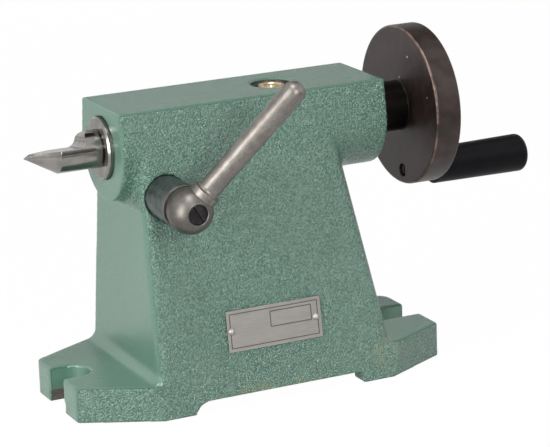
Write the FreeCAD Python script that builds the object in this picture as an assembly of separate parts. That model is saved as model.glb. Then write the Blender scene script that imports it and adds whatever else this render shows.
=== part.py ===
import FreeCAD, Part
import math
import os

# Dividing-head tailstock with a half centre, a screw-fed quill and a pinch-cotter quill clamp.
# Frame: X runs along the spindle with the centre point towards -X and the handwheel towards +X,
# Z is up, the lever and the nameplate are on the -Y side. The origin lies on the base plane,
# in the middle of the base, straight below the spindle axis. Lengths in mm, angles in degrees.

Vector = FreeCAD.Vector

# How far a cutter passes the face that it opens, and how near an edge is to be the one meant
cut_over = 1.0
pick = 0.01

# Spindle housing: a barrel with a flat top
centre_height = 125.0
housing_radius = 25.9
housing_rise = 20.2
housing_front = 67.6
housing_rear = 72.6

# Column below the barrel: every face is drafted
face_draft = 8.5
column_front = 60.7
column_front_draft = 0.6
column_rear = 66.5
column_rear_draft = 10.5
column_edge_radius = 4.5
column_far_edge_radius = 0.8
column_lap = 6.0
front_foot_radius = 5.5
rear_foot_radius = 2.5
front_neck_radius = 3.5
rear_neck_radius = 8.0
neck_end_drop = 1.0

# Base lugs and their open slots
base_length = 195.0
lug_height = 17.3
lug_splay = 27.5
splay_gap = 0.4
near_corner_radius = 1.5
front_far_corner_radius = 4.5
rear_far_corner_radius = 8.0
slot_width = 17.5
front_slot_depth = 17.0
rear_slot_depth = 27.0
tenon_width = 20.0
tenon_depth = 5.5

# Relief under the base, from front to back, and the cored hollow above it
arch_front = 43.7
arch_rear = 46.0
arch_height = 5.2
arch_front_radius = 9.0
arch_rear_radius = 1.5
core_height = 80.0
core_wall = 9.5
core_front_wall = 14.0
core_rear_wall = 17.0
core_corner_radius = 6.0

# Quill, its taper socket and its half centre
quill_diameter = 30.0
quill_length = 108.0
quill_overhang = 2.5
quill_chamfer = 1.5
running_gap = 0.02
socket_diameter = 17.78
socket_taper = 0.04995
socket_depth = 64.0
through_bore_diameter = 15.2
seat_gap = 0.01
centre_diameter = 18.3
centre_reach = 37.0
centre_point_angle = 60.0
centre_shank = 60.0
centre_neck_length = 0.5
centre_neck_diameter = 17.0
centre_flat_height = 1.7
centre_flat_roll = 9.4
centre_flat_length = 23.6
centre_run_out_radius = 6.5

# Feed screw, its nut and its thrust bearing
screw_diameter = 14.0
thread_relief = 2.0
end_chamfer = 1.0
screw_tip_gap = 7.1
nut_diameter = 20.0
nut_length = 20.0
nut_pin_diameter = 3.0
nut_pin_start = 1.0
nut_pin_length = 6.3
bearing_bore_diameter = 34.0
bearing_shoulder = 46.0
washer_thickness = 2.0
washer_bore_diameter = 16.0
collar_diameter = 30.0
collar_length = 6.0
axial_gap = 0.03
journal_diameter = 15.0
journal_gap = 0.04
retainer_recess = 0.3
retainer_pin_circle = 24.5
retainer_pin_diameter = 3.2
retainer_pin_depth = 5.0

# Quill key in the floor of the bore
key_place = 5.0
key_shank_diameter = 8.0
key_length = 6.0
key_width = 5.0
key_side_gap = 0.05
keyway_depth = 3.0
key_top_gap = 0.5
key_shoulder_gap = 0.1
key_screw_sunk = 2.0
key_screw_length = 9.5
key_screw_socket = 4.0
key_screw_socket_depth = 4.0
quill_advance = 25.0
quill_retract = 2.0

# Handwheel and its fixing on the screw
wheel_diameter = 80.0
wheel_thickness = 13.8
rim_width = 12.0
wheel_edge_radius = 1.2
wheel_gap = 0.4
hub_length = 19.1
hub_diameter = 25.0
hub_fillet = 1.0
wheel_seat_diameter = 12.0
dish_inner_diameter = 31.0
dish_depth = 3.0
nut_recess_diameter = 23.0
nut_recess_depth = 7.0
wheel_key_width = 4.0
wheel_key_height = 4.0
wheel_key_sunk = 2.4
wheel_key_length = 16.0
wheel_key_start = 5.0
wheel_washer_diameter = 20.0
wheel_washer_thickness = 1.5
wheel_washer_gap = 0.2
wheel_nut_flats = 17.0
wheel_nut_height = 6.0
wheel_thread_diameter = 10.0
thread_end_over_nut = 1.1

# Crank handle on the wheel
crank_rim = 6.8
crank_angle = 6.2
spindle_thread_diameter = 6.5
spindle_end_recess = 1.0
spindle_slot_width = 1.2
spindle_slot_depth = 1.5
spindle_collar_diameter = 11.4
spindle_collar_length = 2.0
spindle_diameter = 8.0
spindle_length = 42.0
grip_bore_gap = 0.05
grip_end_gap = 0.3
grip_near_diameter = 18.0
grip_far_diameter = 19.3
grip_near_chamfer = 0.5
grip_end_radius = 3.0
grip_length = 52.8
grip_bore_over = 1.5
snap_ring_from_end = 9.0
snap_ring_width = 1.2
snap_ring_wire = 1.0
snap_ring_gap = 0.1
snap_ring_mouth = 2.0

# Quill clamp: two scalloped cotters drawn together by a stud
clamp_ahead = 47.6
clamp_drop = 21.0
cotter_diameter = 21.0
cotter_gap = 0.04
cotter_bore_depth = 24.0
cotter_bore_cone = 0.8
front_cotter_face = 47.0
cotter_split = 5.0
rear_cotter_length = 19.5
scallop_gap = 0.1
stud_diameter = 10.0
stud_gap = 0.04
stud_in_rear_cotter = 15.5
stud_square = 7.0
stud_square_gap = 0.05
stud_end_gap = 0.5

# Clamp lever
lever_collar_diameter = 20.8
lever_collar_thickness = 1.5
lever_collar_gap = 0.05
lever_neck_diameter = 18.6
lever_neck_length = 0.8
ball_radius = 11.0
ball_offset = 9.0
ball_front = 9.5
ball_bore_depth = 4.0
ball_bore_diameter = 9.6
lever_screw_head = 9.2
lever_screw_recess = 0.7
lever_screw_diameter = 5.0
lever_screw_length = 8.5
lever_screw_slot = 1.1
lever_screw_slot_depth = 1.2
lever_screw_slot_turn = 30.0
arm_reach = 72.6
arm_rise = 49.6
arm_lean = 15.2
arm_stub_diameter = 8.0
arm_stub_start = 6.8
arm_stub_end_gap = 0.3
arm_flare_diameter = 13.8
arm_flare_length = 2.6
arm_neck_diameter = 10.4
arm_neck_length = 6.0
arm_tip_diameter = 11.0

# Ball oiler on the flat top, over the quill bore
oiler_rear = 22.3
oiler_recess_diameter = 20.0
oiler_recess_depth = 2.8
oiler_flange_diameter = 13.0
oiler_flange_thickness = 1.8
oiler_flange_chamfer = 0.3
oiler_stem_diameter = 7.0
oiler_stem_gap = 0.1
oiler_ball_diameter = 3.4
oiler_mouth_diameter = 2.6
oiler_lip = 0.5
oiler_well_gap = 0.1
oiler_floor = 0.3
oiler_feed_diameter = 1.2
oiler_rim_width = 1.4
oiler_rim_depth = 0.6
oiler_spring_wall = 0.5
oiler_spring_gap = 0.02

# Nameplate and its two drive rivets
plate_length = 50.0
plate_height = 20.0
plate_thickness = 0.8
plate_x = 0.7
plate_z = 36.4
plate_border_inset = 1.5
plate_line_width = 0.5
plate_line_depth = 0.2
plate_field_length = 22.2
plate_field_height = 7.9
plate_field_x = 9.0
plate_field_up = 2.9
rivet_from_end = 2.5
rivet_head_diameter = 3.5
rivet_head_height = 1.1
rivet_shank_diameter = 2.0
rivet_shank_length = 4.5
rivet_gap = 0.02

# Places that follow from the sizes
tan_face = math.tan(math.radians(face_draft))
sin_face = math.sin(math.radians(face_draft))
cos_face = math.cos(math.radians(face_draft))
foot_half_width = (housing_radius + centre_height * sin_face) / cos_face
tangent_z = centre_height + housing_radius * sin_face
tangent_y = housing_radius * cos_face
housing_top = centre_height + housing_rise
base_half = base_length / 2
quill_radius = quill_diameter / 2
quill_front = -housing_front - quill_overhang
quill_rear = quill_front + quill_length
screw_tip = quill_front + centre_shank + screw_tip_gap
nut_front = quill_rear - nut_length
collar_front = bearing_shoulder + washer_thickness + axial_gap
collar_rear = collar_front + collar_length
retainer_front = collar_rear + axial_gap + washer_thickness + axial_gap
retainer_rear = housing_rear - retainer_recess
hub_front = housing_rear + wheel_gap
wheel_front = hub_front + hub_length
wheel_rear = wheel_front + wheel_thickness
nut_floor = wheel_rear - nut_recess_depth
crank_radius = wheel_diameter / 2 - crank_rim
crank_y = -crank_radius * math.sin(math.radians(crank_angle))
crank_z = centre_height - crank_radius * math.cos(math.radians(crank_angle))
spindle_start = wheel_rear + spindle_collar_length
spindle_end = spindle_start + spindle_length
snap_ring_x = spindle_end - snap_ring_from_end
clamp_z = centre_height - clamp_drop
ball_y = -front_cotter_face - ball_offset
oiler_seat = housing_top - oiler_recess_depth
bore_top = centre_height + quill_radius
rivet_spacing = plate_length - 2 * rivet_from_end


def half_width(z):
    """Half the column's width at height z: the drafted faces are tangent to the barrel."""
    return foot_half_width - z * tan_face


def column_left(z):
    """X of the column's front end wall at height z."""
    return -column_front + z * math.tan(math.radians(column_front_draft))


def column_right(z):
    """X of the column's rear end wall at height z."""
    return column_rear - z * math.tan(math.radians(column_rear_draft))


def lug_corner(side):
    """X where a lug's sides turn inwards, just beyond the column's end wall."""
    wall = column_left(lug_height) if side < 0 else column_right(lug_height)
    return wall + side * splay_gap


def lug_end(side):
    """Half the width of a lug at its tip."""
    reach = base_half - abs(lug_corner(side))
    return foot_half_width - reach * math.tan(math.radians(lug_splay))


def box(x0, x1, y0, y1, z0, z1):
    """A block between two corners."""
    return Part.makeBox(x1 - x0, y1 - y0, z1 - z0, Vector(x0, y0, z0))


def rod(diameter, start, direction, length):
    """A plain cylinder from a start point along a direction."""
    return Part.makeCylinder(diameter / 2, length, start, direction)


def outline(steps, place):
    """A closed face: a step is a point, or a pair of a point on an arc and the arc's end point."""
    edges = []
    here = steps[0]
    for step in steps[1:] + [steps[0]]:
        if isinstance(step[0], tuple):
            middle, end = step
            edges.append(Part.Arc(place(*here), place(*middle), place(*end)).toShape())
            here = end
        elif math.dist(here, step) > 1e-6:
            edges.append(Part.makeLine(place(*here), place(*step)))
            here = step
    return Part.Face(Part.Wire(edges))


def turned(steps, origin, axis):
    """A solid of revolution from (distance along the axis, radius) steps, closed on the axis."""
    along = Vector(axis).normalize()
    side = Vector(0, 1, 0) if abs(along.y) < 0.5 else Vector(1, 0, 0)
    out = along.cross(side).normalize()
    face = outline(steps, lambda s, r: origin + along * s + out * r)
    return face.revolve(origin, along, 360)


def dome(base, radius, height):
    """The last step of a turned outline that ends in a round cap on the axis."""
    ball = (radius ** 2 + height ** 2) / (2 * height)
    half_turn = math.acos((ball - height) / ball) / 2
    rise = ball * math.cos(half_turn) - (ball - height)
    return (base + rise, ball * math.sin(half_turn)), (base + height, 0)


def ring(inner, outer, start, direction, length):
    """A plain ring with two diameters."""
    return rod(outer, start, direction, length).cut(rod(inner, start, direction, length))


def edges_where(shape, test):
    """The edges of a shape whose curve and centre pass a test."""
    return [edge for edge in shape.Edges if test(edge, edge.CenterOfMass)]


def on_spindle(x):
    return Vector(x, 0, centre_height)


def on_clamp(y):
    return Vector(-clamp_ahead, y, clamp_z)


def on_crank(x):
    return Vector(x, crank_y, crank_z)


along_x = Vector(1, 0, 0)
along_y = Vector(0, 1, 0)
along_z = Vector(0, 0, 1)


def barrel():
    """The spindle housing: round below, drafted sides, flat top."""
    top = half_width(housing_top)
    steps = [
        (tangent_y, tangent_z),
        (top, housing_top),
        (-top, housing_top),
        (-tangent_y, tangent_z),
        ((0.0, centre_height - housing_radius), (tangent_y, tangent_z)),
    ]
    face = outline(steps, lambda y, z: Vector(-housing_front, y, z))
    return face.extrude(along_x * (housing_front + housing_rear))


def column_and_lugs():
    """The column with its two lugs, where the front, end and plan outlines meet."""
    top = tangent_z + column_lap
    reach = foot_half_width + cut_over
    front_view = [
        (-base_half, 0.0),
        (-base_half, lug_height),
        (column_left(lug_height), lug_height),
        (column_left(top), top),
        (column_right(top), top),
        (column_right(lug_height), lug_height),
        (base_half, lug_height),
        (base_half, 0.0),
    ]
    end_view = [
        (-foot_half_width, 0.0),
        (-half_width(top), top),
        (half_width(top), top),
        (foot_half_width, 0.0),
    ]
    plan_view = [
        (-base_half, -lug_end(-1)),
        (lug_corner(-1), -foot_half_width),
        (lug_corner(1), -foot_half_width),
        (base_half, -lug_end(1)),
        (base_half, lug_end(1)),
        (lug_corner(1), foot_half_width),
        (lug_corner(-1), foot_half_width),
        (-base_half, lug_end(-1)),
    ]
    front = outline(front_view, lambda x, z: Vector(x, -reach, z)).extrude(along_y * 2 * reach)
    end = outline(end_view, lambda y, z: Vector(-base_half, y, z)).extrude(along_x * base_length)
    plan = outline(plan_view, lambda x, y: Vector(x, y, 0)).extrude(along_z * top)
    corners = {
        (-1, -1): near_corner_radius,
        (1, -1): near_corner_radius,
        (-1, 1): front_far_corner_radius,
        (1, 1): rear_far_corner_radius,
    }
    for (side_x, side_y), radius in corners.items():
        upright = edges_where(
            plan, lambda edge, c: c.x * side_x > base_half - pick and c.y * side_y > 0
            and abs(edge.Length - top) < pick
        )
        plan = plan.makeFillet(radius, upright)
    solid = front.common(end).common(plan).removeSplitter()
    for side, radius in ((-1, column_edge_radius), (1, column_far_edge_radius)):
        upright = edges_where(
            solid, lambda edge, c: edge.BoundBox.ZLength > top / 2
            and abs(c.y - side * half_width(c.z)) < pick
        )
        solid = solid.makeFillet(radius, upright)
    for side, radius in ((-1, front_foot_radius), (1, rear_foot_radius)):
        foot = edges_where(
            solid, lambda edge, c: abs(c.z - lug_height) < pick
            and 0 < c.x * side < base_half - pick and edge.BoundBox.XLength < pick
        )
        solid = solid.makeFillet(radius, foot)
    return solid


def neck_edges(shape, side):
    """The curved edges where the barrel leaves an end wall of the column."""
    return edges_where(
        shape, lambda edge, c: edge.BoundBox.ZLength > pick and c.x * side > 0
        and -housing_front + pick < c.x < housing_rear - pick
        and centre_height - housing_radius < c.z < tangent_z
    )


def neck_blended(shape):
    """The casting with its necks rounded from the barrel's underside up to just below the spindle."""
    reach = base_length + foot_half_width
    rounded_to = centre_height - neck_end_drop
    below = box(-reach, reach, -reach, reach, -cut_over, rounded_to)
    low = shape.common(below).Solids[0]
    high = shape.cut(below)
    for side, radius in ((-1, front_neck_radius), (1, rear_neck_radius)):
        edges = [edge for edge in neck_edges(low, side) if edge.CenterOfMass.z < rounded_to - pick]
        low = low.makeFillet(radius, edges)
    return low.fuse(high).removeSplitter()


def underside_cuts():
    """The relief arch, the cored hollow and the two tenon grooves."""
    run = math.sqrt(arch_front_radius ** 2 - (arch_front_radius - arch_height) ** 2)
    bend = math.acos((arch_front_radius - arch_height) / arch_front_radius) / 2
    ceiling = -arch_front + run
    centre_z = arch_height - arch_front_radius
    lean = arch_rear_radius * (1 - math.cos(math.pi / 4))
    arch = [
        (-arch_front, 0.0),
        ((ceiling - arch_front_radius * math.sin(bend), centre_z + arch_front_radius * math.cos(bend)),
         (ceiling, arch_height)),
        (arch_rear - arch_rear_radius, arch_height),
        ((arch_rear - lean, arch_height - lean), (arch_rear, arch_height - arch_rear_radius)),
        (arch_rear, 0.0),
    ]
    reach = foot_half_width + cut_over
    relief = outline(arch, lambda x, z: Vector(x, -reach, z)).extrude(along_y * 2 * reach)
    rims = []
    for z in (0.0, core_height):
        x0 = column_left(z) + core_front_wall
        x1 = column_right(z) - core_rear_wall
        y1 = half_width(z) - core_wall
        rims.append(Part.makePolygon([
            Vector(x0, -y1, z), Vector(x1, -y1, z), Vector(x1, y1, z), Vector(x0, y1, z),
            Vector(x0, -y1, z),
        ]))
    core = Part.makeLoft(rims, True, True)
    uprights = edges_where(core, lambda edge, c: edge.BoundBox.ZLength > core_height / 2)
    core = core.makeFillet(core_corner_radius, uprights)
    groove = box(-base_half, base_half, -tenon_width / 2, tenon_width / 2, 0, tenon_depth)
    return [relief, core, groove]


def slot(side, depth):
    """An open round-ended bolt slot through a lug."""
    radius = slot_width / 2
    centre = side * (base_half - depth + radius)
    end = side * (base_half + cut_over)
    top = lug_height + cut_over
    mouth = box(min(centre, end), max(centre, end), -radius, radius, -cut_over, top)
    return mouth.fuse(rod(slot_width, Vector(centre, 0, -cut_over), along_z, top + cut_over))


def plate_frame(x, up, out):
    """A point on the nameplate: x along it, up its face, out from the column."""
    return Vector(
        plate_x + x,
        -half_width(plate_z) + up * sin_face - out * cos_face,
        plate_z + up * cos_face + out * sin_face,
    )


plate_normal = Vector(0, -cos_face, sin_face)


def plate_block(length, height, x, up, out0, out1):
    """A block on the nameplate's face."""
    corners = [(-1, -1), (1, -1), (1, 1), (-1, 1), (-1, -1)]
    points = [plate_frame(x + a * length / 2, up + b * height / 2, out0) for a, b in corners]
    return Part.Face(Part.makePolygon(points)).extrude(plate_normal * (out1 - out0))


def body_casting():
    solid = column_and_lugs().fuse(barrel()).removeSplitter()
    solid = neck_blended(solid)
    cuts = underside_cuts()
    cuts.append(slot(-1, front_slot_depth))
    cuts.append(slot(1, rear_slot_depth))
    cuts.append(rod(quill_diameter, on_spindle(-housing_front), along_x, housing_front + housing_rear))
    cuts.append(rod(
        bearing_bore_diameter, on_spindle(bearing_shoulder), along_x, housing_rear - bearing_shoulder
    ))
    cotter_start = -front_cotter_face
    cuts.append(turned([
        (0, 0),
        (0, cotter_diameter / 2),
        (cotter_bore_depth - cotter_start - cotter_bore_cone, cotter_diameter / 2),
        (cotter_bore_depth - cotter_start, cotter_diameter / 2 - cotter_bore_cone),
        (cotter_bore_depth - cotter_start, 0),
    ], on_clamp(cotter_start), along_y))
    key_hole = centre_height - core_height
    cuts.append(rod(key_shank_diameter, Vector(-key_place, 0, core_height - cut_over), along_z, key_hole))
    oiler = Vector(oiler_rear, 0, oiler_seat)
    cuts.append(rod(oiler_recess_diameter, oiler, along_z, oiler_recess_depth + cut_over))
    cuts.append(rod(oiler_stem_diameter, Vector(oiler_rear, 0, centre_height), along_z,
                    oiler_seat - centre_height))
    for side in (-1, 1):
        start = plate_frame(side * rivet_spacing / 2, 0, -rivet_shank_length)
        cuts.append(rod(rivet_shank_diameter, start, plate_normal, rivet_shank_length + cut_over))
    for cut in cuts:
        solid = solid.cut(cut)
    return solid


def quill_sleeve():
    radius = quill_radius - running_gap
    socket = socket_diameter / 2
    floor = socket - socket_depth * socket_taper / 2
    solid = turned([
        (0, 0),
        (0, radius - quill_chamfer),
        (quill_chamfer, radius),
        (quill_length - quill_chamfer, radius),
        (quill_length, radius - quill_chamfer),
        (quill_length, 0),
    ], on_spindle(quill_front), along_x)
    bore = turned([
        (0, 0),
        (0, socket),
        (socket_depth, floor),
        (socket_depth, through_bore_diameter / 2),
        (nut_front - quill_front, through_bore_diameter / 2),
        (nut_front - quill_front, nut_diameter / 2),
        (quill_length, nut_diameter / 2),
        (quill_length, 0),
    ], on_spindle(quill_front), along_x)
    solid = solid.cut(bore)
    reach = key_length / 2 + key_top_gap
    keyway = box(
        -key_place - reach - quill_retract, -key_place + reach + quill_advance,
        -key_width / 2, key_width / 2,
        centre_height - quill_radius - cut_over, centre_height - quill_radius + keyway_depth,
    )
    pin_hole = rod(nut_pin_diameter, nut_pin_foot(), along_z, quill_radius)
    return solid.cut(keyway).cut(pin_hole)


def half_centre():
    """The taper-shank centre: its point is ground away above the axis."""
    radius = centre_diameter / 2
    point = radius / math.tan(math.radians(centre_point_angle / 2))
    tip = quill_front - centre_reach
    shoulder = quill_front - centre_neck_length - tip
    face = quill_front - tip
    socket = socket_diameter / 2 - seat_gap
    tail = socket - centre_shank * socket_taper / 2
    solid = turned([
        (0, 0),
        (point, radius),
        (shoulder, radius),
        (shoulder, centre_neck_diameter / 2),
        (face, centre_neck_diameter / 2),
        (face, socket),
        (face + centre_shank - end_chamfer, tail),
        (face + centre_shank, tail - end_chamfer),
        (face + centre_shank, 0),
    ], on_spindle(tip), along_x)
    rise = radius + cut_over
    end = tip + centre_flat_length
    climb = rise - centre_flat_height
    bend = math.acos((centre_run_out_radius - climb) / centre_run_out_radius)
    low = centre_flat_height
    arc = centre_run_out_radius
    cut = outline([
        (tip - cut_over, low),
        (end, low),
        ((end + arc * math.sin(bend / 2), low + arc * (1 - math.cos(bend / 2))),
         (end + arc * math.sin(bend), rise)),
        (tip - cut_over, rise),
    ], lambda x, z: Vector(x, -rise, centre_height + z)).extrude(along_y * 2 * rise)
    cut.rotate(on_spindle(0), along_x, -centre_flat_roll)
    return solid.cut(cut)


def nut_pin_foot():
    return Vector(nut_front + nut_length / 2, 0, centre_height + screw_diameter / 2 + nut_pin_start)


def feed_nut():
    solid = ring(screw_diameter, nut_diameter - 2 * seat_gap, on_spindle(nut_front), along_x, nut_length)
    return solid.cut(rod(nut_pin_diameter, nut_pin_foot(), along_z, quill_radius))


def nut_pin():
    return rod(nut_pin_diameter - 2 * seat_gap, nut_pin_foot(), along_z, nut_pin_length)


def key_tip():
    return centre_height - quill_radius + keyway_depth - key_top_gap


def quill_key():
    """A round shank in the casting with a flat-sided tongue in the quill's keyway."""
    shoulder = centre_height - quill_radius - key_shoulder_gap
    foot = core_height + key_screw_sunk + key_screw_length
    shank = rod(key_shank_diameter - 2 * running_gap, Vector(-key_place, 0, foot), along_z, shoulder - foot)
    width = key_width - 2 * key_side_gap
    tongue = box(
        -key_place - key_length / 2, -key_place + key_length / 2, -width / 2, width / 2,
        shoulder, key_tip(),
    )
    return shank.fuse(tongue)


def hexagon(flats, start, direction, length):
    """A hexagonal prism from a start point along a direction."""
    along = Vector(direction).normalize()
    side = Vector(0, 1, 0) if abs(along.y) < 0.5 else Vector(1, 0, 0)
    out = along.cross(side).normalize()
    corner = flats / math.sqrt(3)
    points = []
    for i in range(7):
        turn = math.radians(60 * i)
        points.append(start + side * corner * math.cos(turn) + out * corner * math.sin(turn))
    return Part.Face(Part.makePolygon(points)).extrude(along * length)


def key_screw():
    foot = Vector(-key_place, 0, core_height + key_screw_sunk)
    solid = rod(key_shank_diameter - 2 * running_gap, foot, along_z, key_screw_length - axial_gap)
    return solid.cut(hexagon(key_screw_socket, foot, along_z, key_screw_socket_depth))


def feed_screw():
    """Thread, thrust collar, journal, wheel seat and threaded end in one turned piece."""
    thread = screw_diameter / 2 - running_gap
    journal = journal_diameter / 2 - journal_gap
    seat = wheel_seat_diameter / 2 - seat_gap
    end = nut_floor + wheel_washer_thickness + wheel_nut_height + thread_end_over_nut
    solid = turned([
        (screw_tip, 0),
        (screw_tip, thread - end_chamfer),
        (screw_tip + end_chamfer, thread),
        (collar_front - thread_relief, thread),
        (collar_front - thread_relief, thread - end_chamfer),
        (collar_front, thread - end_chamfer),
        (collar_front, collar_diameter / 2),
        (collar_rear, collar_diameter / 2),
        (collar_rear, journal),
        (hub_front, journal),
        (hub_front, seat),
        (nut_floor, seat),
        (nut_floor, wheel_thread_diameter / 2 - seat_gap),
        (end - end_chamfer, wheel_thread_diameter / 2 - seat_gap),
        (end, wheel_thread_diameter / 2 - end_chamfer),
        (end, 0),
    ], on_spindle(0), along_x)
    return solid.cut(wheel_key_space(0))


def thrust_washer(x):
    outer = bearing_bore_diameter - 2 * running_gap
    return ring(washer_bore_diameter, outer, on_spindle(x), along_x, washer_thickness)


def bearing_retainer():
    """The ring that closes the bearing bore; two blind holes take a pin spanner."""
    outer = bearing_bore_diameter - 2 * running_gap
    length = retainer_rear - retainer_front
    solid = ring(journal_diameter, outer, on_spindle(retainer_front), along_x, length)
    for side in (-1, 1):
        place = Vector(retainer_rear - retainer_pin_depth, side * retainer_pin_circle / 2, centre_height)
        solid = solid.cut(rod(retainer_pin_diameter, place, along_x, retainer_pin_depth))
    return solid


def wheel_key_space(gap):
    """The space of the key that drives the screw from the wheel."""
    start = hub_front + wheel_key_start
    low = centre_height + wheel_seat_diameter / 2 - wheel_key_sunk
    return box(
        start + gap, start + wheel_key_length - gap, gap - wheel_key_width / 2, wheel_key_width / 2 - gap,
        low + gap, low + wheel_key_height,
    )


def handwheel():
    """A solid disc wheel with a long front hub, a shallow rear dish and a recess for its nut."""
    radius = wheel_diameter / 2
    edge = wheel_edge_radius
    soft = edge * (1 - math.cos(math.pi / 4))
    hub = hub_diameter / 2
    fillet = hub_fillet * (1 - math.cos(math.pi / 4))
    solid = turned([
        (hub_front, 0),
        (hub_front, hub),
        (wheel_front - hub_fillet, hub),
        ((wheel_front - fillet, hub + fillet), (wheel_front, hub + hub_fillet)),
        (wheel_front, radius - edge),
        ((wheel_front + soft, radius - soft), (wheel_front + edge, radius)),
        (wheel_rear - edge, radius),
        ((wheel_rear - soft, radius - soft), (wheel_rear, radius - edge)),
        (wheel_rear, radius - rim_width),
        (wheel_rear - dish_depth, radius - rim_width - dish_depth),
        (wheel_rear - dish_depth, dish_inner_diameter / 2 + dish_depth),
        (wheel_rear, dish_inner_diameter / 2),
        (wheel_rear, nut_recess_diameter / 2),
        (nut_floor, nut_recess_diameter / 2),
        (nut_floor, 0),
    ], on_spindle(0), along_x)
    solid = solid.cut(rod(wheel_seat_diameter, on_spindle(hub_front), along_x, hub_length + wheel_thickness))
    top = centre_height + wheel_seat_diameter / 2 - wheel_key_sunk + wheel_key_height + seat_gap
    keyway = box(hub_front, nut_floor, -wheel_key_width / 2, wheel_key_width / 2, centre_height, top)
    solid = solid.cut(keyway)
    return solid.cut(rod(spindle_thread_diameter, on_crank(wheel_front), along_x, wheel_thickness))


def wheel_washer():
    return ring(
        wheel_thread_diameter + 2 * wheel_washer_gap, wheel_washer_diameter, on_spindle(nut_floor), along_x,
        wheel_washer_thickness,
    )


def wheel_nut():
    start = nut_floor + wheel_washer_thickness
    solid = hexagon(wheel_nut_flats, on_spindle(start), along_x, wheel_nut_height)
    return solid.cut(rod(wheel_thread_diameter, on_spindle(start), along_x, wheel_nut_height))


def handle_spindle():
    """The shouldered pin that the grip turns on, screwed through the rim from behind."""
    thread = spindle_thread_diameter / 2 - seat_gap
    shank = spindle_diameter / 2
    start = wheel_front + spindle_end_recess
    groove = shank - snap_ring_wire / 2 - snap_ring_gap
    solid = turned([
        (start, 0),
        (start, thread),
        (wheel_rear, thread),
        (wheel_rear, spindle_collar_diameter / 2),
        (spindle_start, spindle_collar_diameter / 2),
        (spindle_start, shank),
        (snap_ring_x - snap_ring_gap, shank),
        (snap_ring_x - snap_ring_gap, groove),
        (snap_ring_x + snap_ring_width + snap_ring_gap, groove),
        (snap_ring_x + snap_ring_width + snap_ring_gap, shank),
        (spindle_end - end_chamfer, shank),
        (spindle_end, shank - end_chamfer),
        (spindle_end, 0),
    ], on_crank(0), along_x)
    reach = spindle_thread_diameter
    half = spindle_slot_width / 2
    cut = box(
        start - cut_over, start + spindle_slot_depth, crank_y - half, crank_y + half,
        crank_z - reach, crank_z + reach,
    )
    return solid.cut(cut)


def snap_ring():
    """The split ring that keeps the grip on its spindle."""
    inner = spindle_diameter - snap_ring_wire
    outer = spindle_diameter + snap_ring_wire
    solid = ring(inner, outer, on_crank(snap_ring_x), along_x, snap_ring_width)
    half = snap_ring_mouth / 2
    mouth = box(
        snap_ring_x, snap_ring_x + snap_ring_width, crank_y - half, crank_y + half, crank_z, crank_z + outer
    )
    return solid.cut(mouth)


def handle_grip():
    start = spindle_start + grip_end_gap
    end = start + grip_length
    near = grip_near_diameter / 2
    far = grip_far_diameter / 2
    soft = grip_end_radius * (1 - math.cos(math.pi / 4))
    bore = spindle_diameter / 2 + grip_bore_gap
    groove = spindle_diameter / 2 + snap_ring_wire / 2 + snap_ring_gap
    solid = turned([
        (start, 0),
        (start, near - grip_near_chamfer),
        (start + grip_near_chamfer, near),
        (end - grip_end_radius, far),
        ((end - soft, far - soft), (end, far - grip_end_radius)),
        (end, 0),
    ], on_crank(0), along_x)
    hollow = turned([
        (start, 0),
        (start, bore),
        (snap_ring_x - snap_ring_gap, bore),
        (snap_ring_x - snap_ring_gap, groove),
        (snap_ring_x + snap_ring_width + snap_ring_gap, groove),
        (snap_ring_x + snap_ring_width + snap_ring_gap, bore),
        (spindle_end + grip_bore_over, bore),
        (spindle_end + grip_bore_over, 0),
    ], on_crank(0), along_x)
    return solid.cut(hollow)


def scallop():
    """The round hollow that the two cotters press against the quill."""
    reach = cotter_diameter
    start = on_spindle(-clamp_ahead - reach)
    return rod(quill_diameter + 2 * scallop_gap, start, along_x, 2 * reach)


def front_cotter():
    inner = -cotter_split / 2
    solid = rod(
        cotter_diameter - 2 * cotter_gap, on_clamp(-front_cotter_face), along_y, front_cotter_face + inner
    )
    hole = rod(stud_diameter + 2 * stud_gap, on_clamp(-front_cotter_face), along_y, front_cotter_face)
    return solid.cut(hole).cut(scallop())


def rear_cotter():
    start = cotter_split / 2
    solid = rod(cotter_diameter - 2 * cotter_gap, on_clamp(start), along_y, rear_cotter_length)
    solid = solid.makeChamfer(cotter_bore_cone, edges_where(
        solid, lambda edge, c: c.y > start + rear_cotter_length - pick
    ))
    hole = rod(stud_diameter + 2 * stud_gap, on_clamp(start), along_y, rear_cotter_length)
    return solid.cut(hole).cut(scallop())


def hub_back():
    """Y of the plane where the lever's collar ends and its ball hub starts."""
    return -front_cotter_face - lever_collar_gap - lever_collar_thickness


def clamp_stud():
    """Threaded into the rear cotter; its square end carries the lever."""
    rear = cotter_split / 2 + stud_in_rear_cotter
    square_start = hub_back() - lever_neck_length
    floor = ball_y - ball_front + ball_bore_depth
    end = floor + stud_end_gap
    solid = rod(stud_diameter, on_clamp(square_start), along_y, rear - square_start)
    half = stud_square / 2
    square = box(
        -clamp_ahead - half, -clamp_ahead + half, end, square_start, clamp_z - half, clamp_z + half
    )
    solid = solid.fuse(square)
    return solid.cut(rod(
        lever_screw_diameter + 2 * seat_gap, on_clamp(end), along_y, lever_screw_length + stud_end_gap
    ))


def lever_collar():
    return ring(
        stud_diameter + 2 * stud_gap, lever_collar_diameter, on_clamp(hub_back()), along_y,
        lever_collar_thickness,
    )


def arm_direction():
    """The arm rises over the barrel and leans outwards, clear of the casting."""
    rise = math.radians(arm_rise)
    lean = math.radians(arm_lean)
    return Vector(math.cos(rise) * math.cos(lean), -math.sin(lean), math.sin(rise) * math.cos(lean))


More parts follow.
